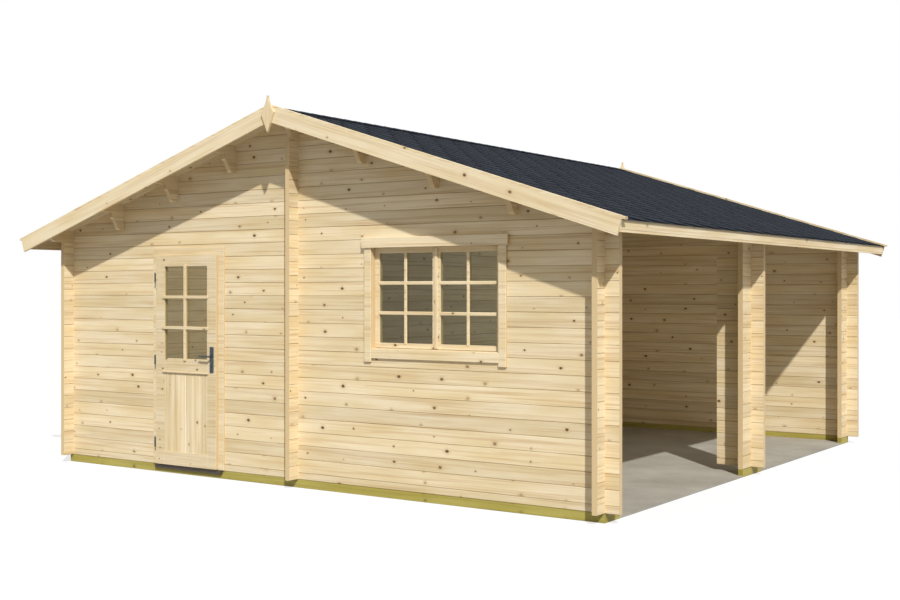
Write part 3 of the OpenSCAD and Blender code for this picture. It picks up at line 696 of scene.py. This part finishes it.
def door_joinery():
    """Stiles and rails of the leaf, each with its lip and the core behind it."""
    boards = []
    ends_x = (leaf_lo.x, pane_lo.x, pane_hi.x, leaf_hi.x)
    for lip, y0, y1 in ((0.0, leaf_lo.y, lip_back), (core_in, lip_back, leaf_hi.y)):
        left, right = ends_x[0] + lip, ends_x[3] - lip
        top = leaf_hi.z - lip
        boards += [
            ((left, y0, leaf_lo.z), (ends_x[1], y1, top), Z),
            ((ends_x[2], y0, leaf_lo.z), (right, y1, top), Z),
            ((ends_x[1], y0, pane_hi.z), (ends_x[2], y1, top), X),
            ((ends_x[1], y0, mid_rail_z), (ends_x[2], y1, pane_lo.z), X),
            ((ends_x[1], y0, leaf_lo.z), (ends_x[2], y1, panel_z), X),
        ]
    return joinery("door_stiles_and_rails", boards, "door", ["door_leaf"], first=11)


def door_boards():
    """Upright boards of the lower panel, with a V joint between each two."""
    width = (pane_hi.x - pane_lo.x) / LEAF_BOARDS
    front, back = leaf_lo.y + 0.004, leaf_hi.y - 0.006
    v = LEAF_BOARD_V
    gap = BOARD_GAP
    profile = ((gap, back), (gap, front + v), (v, front), (width - v, front),
               (width - gap, front + v), (width - gap, back))
    bm = bmesh.new()
    slab(bm, [[(pane_lo.x + x, y, z) for x, y in profile] for z in (panel_z, mid_rail_z)])
    board = mesh_from(bm, "board", [])
    made = repeated("door_panel_boards", board, upright, LEAF_BOARDS, 1, (width, 0, 0),
                    first=41)
    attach(made, "door")


def glazing(lo, hi, uprights, levels, wide, high, y0, y1, lap):
    """Glazing bars over a pane: uprights at shares of its width, levels at shares of its
    height, all running a little past it. The levels stand a hair behind the uprights."""
    bars = []
    for share in uprights:
        x = lo.x + (hi.x - lo.x) * share
        bars.append(((x - wide / 2, y0, lo.z - lap),
                     (x + wide / 2, y1, hi.z + lap), Z, BAR_ARRIS))
    for share in levels:
        z = lo.z + (hi.z - lo.z) * share
        bars.append(((lo.x - lap, y0 + 0.001, z - high / 2),
                     (hi.x + lap, y1, z + high / 2), X, BAR_ARRIS))
    return bars


def door_bars():
    """Glazing bars on the leaf, and the moulding along the foot of its middle rail."""
    bars = glazing(pane_lo, pane_hi, [0.5], [1 / 3, 2 / 3], BAR_DOOR, BAR_DOOR,
                   leaf_lo.y - BAR_PROUD, leaf_lo.y + BAR_PROUD, BAR_LAP)
    drip = [((pane_lo.x - 0.02, leaf_lo.y - 0.012, mid_rail_z - 0.006),
             (pane_hi.x + 0.02, leaf_lo.y, mid_rail_z + 0.010), X, TRIM_ARRIS)]
    joinery("door_glazing_bars", bars, "door", first=61)
    joinery("door_rail_moulding", drip, "door", first=68)


def door_casing():
    """Frame of the door: casings in front and behind, the lining between, and its stops."""
    lo, hi = door_frame_lo, door_frame_hi
    clear = 0.5 * (leaf_hi.x - leaf_lo.x) - LEAF_LIP
    mid = 0.5 * (leaf_hi.x + leaf_lo.x)
    head = leaf_hi.z - LEAF_LIP
    stop_y = leaf_hi.y + 0.005
    stop = STOP_W
    lining = mid - (hi.x - mid) + CASING_LAP
    foot = BEAM_TOP + 0.004
    boards = []
    for y0, y1, inner in ((lo.y, wall_face, 0.0), (wall_back, hi.y, stop)):
        for s in (-1, 1):
            xs = sorted((mid + s * (clear - inner), mid + s * (hi.x - mid)))
            boards.append(((xs[0], y0, foot), (xs[1], y1, head - inner), Z))
        boards.append(((lo.x, y0, head - inner), (hi.x, y1, hi.z), X))
    for s in (-1, 1):
        outer = mid + s * (mid - lining)
        for y0, y1, inner in ((wall_face, stop_y, 0.0), (stop_y, wall_back, stop)):
            xs = sorted((mid + s * (clear - inner), outer))
            boards.append(((xs[0], y0, foot), (xs[1], y1, head - inner), Z))
    for y0, y1, inner in ((wall_face, stop_y, 0.0), (stop_y, wall_back, stop)):
        boards.append(((lining, y0, head - inner), (2 * mid - lining, y1, LINING_TOP), X))
    return joinery("door_casings", boards, "building", ["door_frame"], first=71)


door_joinery()
door_boards()
door_bars()
door_casing()


# ---------------------------------------------------------------- window

frame_lo, frame_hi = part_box("window_frame")
sash_lo, sash_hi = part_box("window_sashes")
trim_lo, trim_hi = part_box("window_trim")
mid_x = 0.5 * (sash_lo.x + sash_hi.x)


def sash(boards, x0, x1, stile0, stile1):
    """Stiles and rails of one sash."""
    y0, y1 = sash_lo.y, sash_hi.y
    foot, top = sash_lo.z + SASH_FOOT, sash_hi.z - SASH_BAR
    boards += [
        ((x0, y0, sash_lo.z), (x0 + stile0, y1, sash_hi.z), Z, SASH_ARRIS),
        ((x1 - stile1, y0, sash_lo.z), (x1, y1, sash_hi.z), Z, SASH_ARRIS),
        ((x0 + stile0, y0, top), (x1 - stile1, y1, sash_hi.z), X, SASH_ARRIS),
        ((x0 + stile0, y0, sash_lo.z), (x1 - stile1, y1, foot), X, SASH_ARRIS),
    ]
    lo = Vector((x0 + stile0, 0, foot))
    hi = Vector((x1 - stile1, 0, top))
    return glazing(lo, hi, [0.5], [1 / 3, 2 / 3], BAR_WINDOW_UP, BAR_WINDOW_LEVEL,
                   y0 - 0.006, y0 + 0.011, 0.006)


def window_joinery():
    """The two sashes, their glazing bars and the strip over their meeting line."""
    boards, bars = [], []
    bars += sash(boards, sash_lo.x, mid_x - SASH_GAP / 2, SASH_BAR, MEET)
    bars += sash(boards, mid_x + SASH_GAP / 2, sash_hi.x, MEET, SASH_BAR)
    joinery("window_stiles_and_rails", boards, "building", ["window_sashes"], first=121)
    joinery("window_glazing_bars", bars, "building", first=141)
    weather = [((mid_x - 0.016, sash_lo.y - 0.012, sash_lo.z + 0.004),
                (mid_x + 0.016, sash_lo.y, sash_hi.z - 0.004), Z, BAR_ARRIS)]
    joinery("window_meeting_strip", weather, "building", first=151)


def window_casing():
    """Frame and trim boards round the window."""
    lo, hi = frame_lo, frame_hi
    bar = sash_lo.x - lo.x
    boards = [
        ((lo.x, lo.y, lo.z), (lo.x + bar, hi.y, hi.z), Z),
        ((hi.x - bar, lo.y, lo.z), (hi.x, hi.y, hi.z), Z),
        ((lo.x + bar, lo.y, lo.z), (hi.x - bar, hi.y, sash_lo.z - SASH_GAP), X),
        ((lo.x + bar, lo.y, sash_hi.z + SASH_GAP), (hi.x - bar, hi.y, hi.z), X),
    ]
    joinery("window_lining", boards, "building", ["window_frame"], first=161)
    face = wall_face - TRIM_T
    side = (trim_lo.x + HEAD_END, trim_hi.x - HEAD_END)
    head_z = trim_hi.z - HEAD_H
    sill_z = trim_lo.z + SILL_RISE
    boards = [
        ((side[0], face, trim_lo.z), (sash_lo.x, wall_face, head_z), Z, TRIM_ARRIS),
        ((sash_hi.x, face, trim_lo.z), (side[1], wall_face, head_z), Z, TRIM_ARRIS),
        ((sash_lo.x, face, sill_z), (sash_hi.x, wall_face, sill_z + SILL_H), X, TRIM_ARRIS),
        ((trim_lo.x, trim_lo.y, head_z), (trim_hi.x, wall_face, trim_hi.z), X, TRIM_ARRIS),
    ]
    joinery("window_trim_boards", boards, "building", ["window_trim"], first=171)


window_joinery()
window_casing()


# ---------------------------------------------------------------- ironwork

plate_lo, plate_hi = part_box("door_backplate")
lever_lo, lever_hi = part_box("door_lever")
plate_x = 0.5 * (plate_lo.x + plate_hi.x)
LEVER_Z = 0.5 * (lever_lo.z + lever_hi.z)


def prism(bm, outline, y0, y1, eased):
    """A plate of that outline in X and Z between y0 and y1, its front edge eased."""
    middle = Vector((sum(p[0] for p in outline), sum(p[1] for p in outline))) / len(outline)
    small = [middle + (Vector(p) - middle) * (1 - eased / (Vector(p) - middle).length)
             for p in outline]
    rings = [[bm.verts.new((p[0], y, p[1])) for p in points]
             for points, y in ((outline, y1), (outline, y0 + eased), (small, y0))]
    for low, high in zip(rings, rings[1:]):
        for i in range(len(low)):
            j = (i + 1) % len(low)
            bm.faces.new((low[i], low[j], high[j], high[i]))
    bm.faces.new(rings[0])
    bm.faces.new(rings[-1])


def rounded(x, z, wide, high, r, steps=5):
    """Outline of an upright plate with round corners."""
    points = []
    for quarter, (sx, sz) in enumerate(((1, 1), (-1, 1), (-1, -1), (1, -1))):
        for i in range(steps + 1):
            turn = math.pi / 2 * (quarter + i / steps)
            points.append((x + sx * (wide / 2 - r) + r * math.cos(turn),
                           z + sz * (high / 2 - r) + r * math.sin(turn)))
    return points


def disc(x, z, r, steps=20):
    """Outline of a round piece."""
    return [(x + r * math.cos(math.tau * i / steps), z + r * math.sin(math.tau * i / steps))
            for i in range(steps)]


def backplate():
    """Long plate with the lever's rose, the lock cylinder and two screws."""
    bm = bmesh.new()
    middle = 0.5 * (plate_lo.z + plate_hi.z)
    prism(bm, rounded(plate_x, middle, plate_hi.x - plate_lo.x, plate_hi.z - plate_lo.z,
                      0.008), plate_lo.y, plate_hi.y, 0.0015)
    front = plate_lo.y
    sunk = front + 0.001
    prism(bm, disc(plate_x, LEVER_Z, 0.015), front - 0.0002, sunk, 0.0001)
    key = LEVER_Z - 0.072
    prism(bm, disc(plate_x, key, 0.0085), front - 0.003, sunk, 0.0006)
    prism(bm, rounded(plate_x, key - 0.012, 0.009, 0.026, 0.0044), front - 0.003,
          sunk, 0.0006)
    for z in (plate_lo.z + 0.014, plate_hi.z - 0.014):
        prism(bm, disc(plate_x, z, 0.0045, 12), front - 0.0012, sunk, 0.0006)
    made = mesh_from(bm, "door_plate_with_lock", [dark_steel])
    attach(made, "door")
    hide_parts("door_backplate")


def lever():
    """Round bar bent from the spindle into a flat sweep towards the hinges."""
    bend = 0.016
    start = lever_hi.y
    out = lever_lo.y + 0.008
    end = lever_lo.x + 0.008
    path = [(plate_x, start, LEVER_Z)]
    for i in range(9):
        turn = math.pi / 2 * i / 8
        path.append((plate_x - bend + bend * math.cos(turn),
                     out + bend - bend * math.sin(turn), LEVER_Z))
    path += [(end + 0.045, out, LEVER_Z), (end + 0.012, out + 0.002, LEVER_Z - 0.001),
             (end, out + 0.006, LEVER_Z - 0.002)]
    curve = bpy.data.curves.new("lever", "CURVE")
    curve.dimensions = "3D"
    curve.bevel_depth = 0.0078
    curve.bevel_resolution = 5
    curve.use_fill_caps = True
    line = curve.splines.new("POLY")
    line.points.add(len(path) - 1)
    for point, place in zip(line.points, path):
        point.co = (*place, 1)
    bar = new_object("lever_bar", curve)
    graph = bpy.context.evaluated_depsgraph_get()
    mesh = bpy.data.meshes.new_from_object(bar.evaluated_get(graph), depsgraph=graph)
    bpy.data.objects.remove(bar)
    bm = bmesh.new()
    bm.from_mesh(mesh)
    bmesh.ops.remove_doubles(bm, verts=bm.verts[:], dist=0.00001)
    prism(bm, disc(plate_x, LEVER_Z, 0.011), start - 0.012, start, 0.002)
    for face in bm.faces:
        face.smooth = len(face.verts) == 4
    made = mesh_from(bm, "door_lever_bar", [dark_steel])
    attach(made, "lever")
    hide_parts("door_lever")


def hinges():
    """Drilled-in hinges: a slim barrel in two halves, each on a pin screwed into its wood."""
    lo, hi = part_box("door_hinges")
    pins_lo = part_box("hinge_pins")[0]
    axis_x = pins_lo.x + 0.008
    axis_y = leaf_lo.y - 0.002
    half = 0.045
    r = 0.0068
    ease = 0.001
    pin_r = 0.0035
    levels = [lo.z, 0.5 * (lo.z + hi.z - half), hi.z - half]
    for name, body, node, z0 in (("door_hinge_tops", "door", "door_hinges", 0.0002),
                                 ("frame_hinge_seats", "building", "hinge_pins", -half)):
        bm = bmesh.new()
        for z in levels:
            ends = (z + z0, z + z0 + half - 0.0005)
            rings = []
            for level, radius in ((ends[0], r - ease), (ends[0] + ease, r),
                                  (ends[1] - ease, r), (ends[1], r - ease)):
                rings.append([(p[0], p[1], level) for p in disc(axis_x, axis_y, radius, 16)])
            slab(bm, rings)
            middle = 0.5 * (ends[0] + ends[1])
            if body == "door":
                pin = [[(x, *p) for p in disc(axis_y + 0.004, middle, pin_r, 12)]
                       for x in (axis_x + r - ease, leaf_lo.x + 0.002)]
            else:
                pin = [[(p[0], y, p[1]) for p in disc(axis_x - 0.001, middle, pin_r, 12)]
                       for y in (axis_y + r - ease, door_frame_lo.y + 0.002)]
            slab(bm, pin)
        made = mesh_from(bm, name, [dark_steel])
        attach(made, body)
        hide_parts(node)


backplate()
lever()
hinges()


# ---------------------------------------------------------------- stage, light, camera

def seen_as_background(tree):
    """1 where the camera sees it, straight or in metal and glass, and 0 for its light."""
    ray = add(tree, "ShaderNodeLightPath").outputs
    seen = add(tree, MATH, {0: ray["Is Camera Ray"], 1: ray["Is Glossy Ray"]},
               operation="MAXIMUM").outputs[0]
    return add(tree, MATH, {0: seen, 1: ray["Is Transmission Ray"]},
               operation="MAXIMUM").outputs[0]


def stage():
    """White floor. Light that bounces off it is that of pale grey ground."""
    mesh = bpy.data.meshes.new("floor")
    size = 60.0
    low = -0.0015
    mesh.from_pydata([(-size, -size, low), (size, -size, low), (size, size, low),
                      (-size, size, low)], [], [(0, 1, 2, 3)])
    floor = new_object("floor", mesh)
    material, tree, shader = new_material("white_floor")
    tree.nodes.remove(shader)
    seen = seen_as_background(tree)
    ground = add(tree, "ShaderNodeBsdfDiffuse", {"Color": (FLOOR_BOUNCE,) * 3 + (1,)}).outputs[0]
    white = add(tree, "ShaderNodeBsdfDiffuse", {"Color": (0.9, 0.9, 0.9, 1)}).outputs[0]
    glow = add(tree, "ShaderNodeEmission", {"Color": (1, 1, 1, 1), "Strength": 1.0}).outputs[0]
    shown = add(tree, "ShaderNodeMixShader", {0: 0.72, 1: white, 2: glow}).outputs[0]
    both = add(tree, "ShaderNodeMixShader", {0: seen, 1: ground, 2: shown}).outputs[0]
    tree.links.new(both, tree.nodes["Material Output"].inputs["Surface"])
    mesh.materials.append(material)


def daylight():
    """A soft-edged sun from the right of the door gable, an even pale sky, and faint fill
    in the rooms, so that they show through the panes."""
    lamp = bpy.data.lights.new("sun", "SUN")
    lamp.energy = SUN_STRENGTH
    lamp.angle = math.radians(SUN_WIDTH)
    sun = new_object("sun", lamp)
    sun.rotation_euler = Vector(SUN_FROM).to_track_quat("Z", "Y").to_euler()
    for name, place, watts in (("store_lamp_front", (-1.5, -1.3, 1.5), 24.0),
                               ("store_lamp_back", (-1.5, 1.3, 1.5), 24.0),
                               ("bay_lamp", (1.2, 0.6, 1.5), 9.0)):
        lamp = bpy.data.lights.new(name, "POINT")
        lamp.energy = watts
        lamp.shadow_soft_size = 0.4
        new_object(name, lamp).location = place
    world = bpy.data.worlds.new("sky")
    bpy.context.scene.world = world
    world.use_nodes = True
    tree = world.node_tree
    tree.nodes.clear()
    seen = seen_as_background(tree)
    sky = add(tree, "ShaderNodeBackground", {"Color": (1, 1, 1, 1), "Strength": SKY_STRENGTH})
    white = add(tree, "ShaderNodeBackground", {"Color": (1, 1, 1, 1), "Strength": 1.0})
    both = add(tree, "ShaderNodeMixShader", {0: seen, 1: sky.outputs[0], 2: white.outputs[0]})
    add(tree, "ShaderNodeOutputWorld", {0: both.outputs[0]})


def camera():
    """Standing height, off the corner of the door gable and the open side."""
    lens = bpy.data.cameras.new("camera")
    lens.lens = 50
    lens.sensor_width = 36
    lens.shift_y = -0.01056
    lens.clip_end = 200
    made = new_object("camera", lens)
    made.location = CAMERA_AT
    made.rotation_euler = Vector(CAMERA_LOOK).to_track_quat("-Z", "Y").to_euler()
    bpy.context.scene.camera = made


stage()
daylight()
camera()
bpy.context.scene.view_settings.view_transform = "Standard"
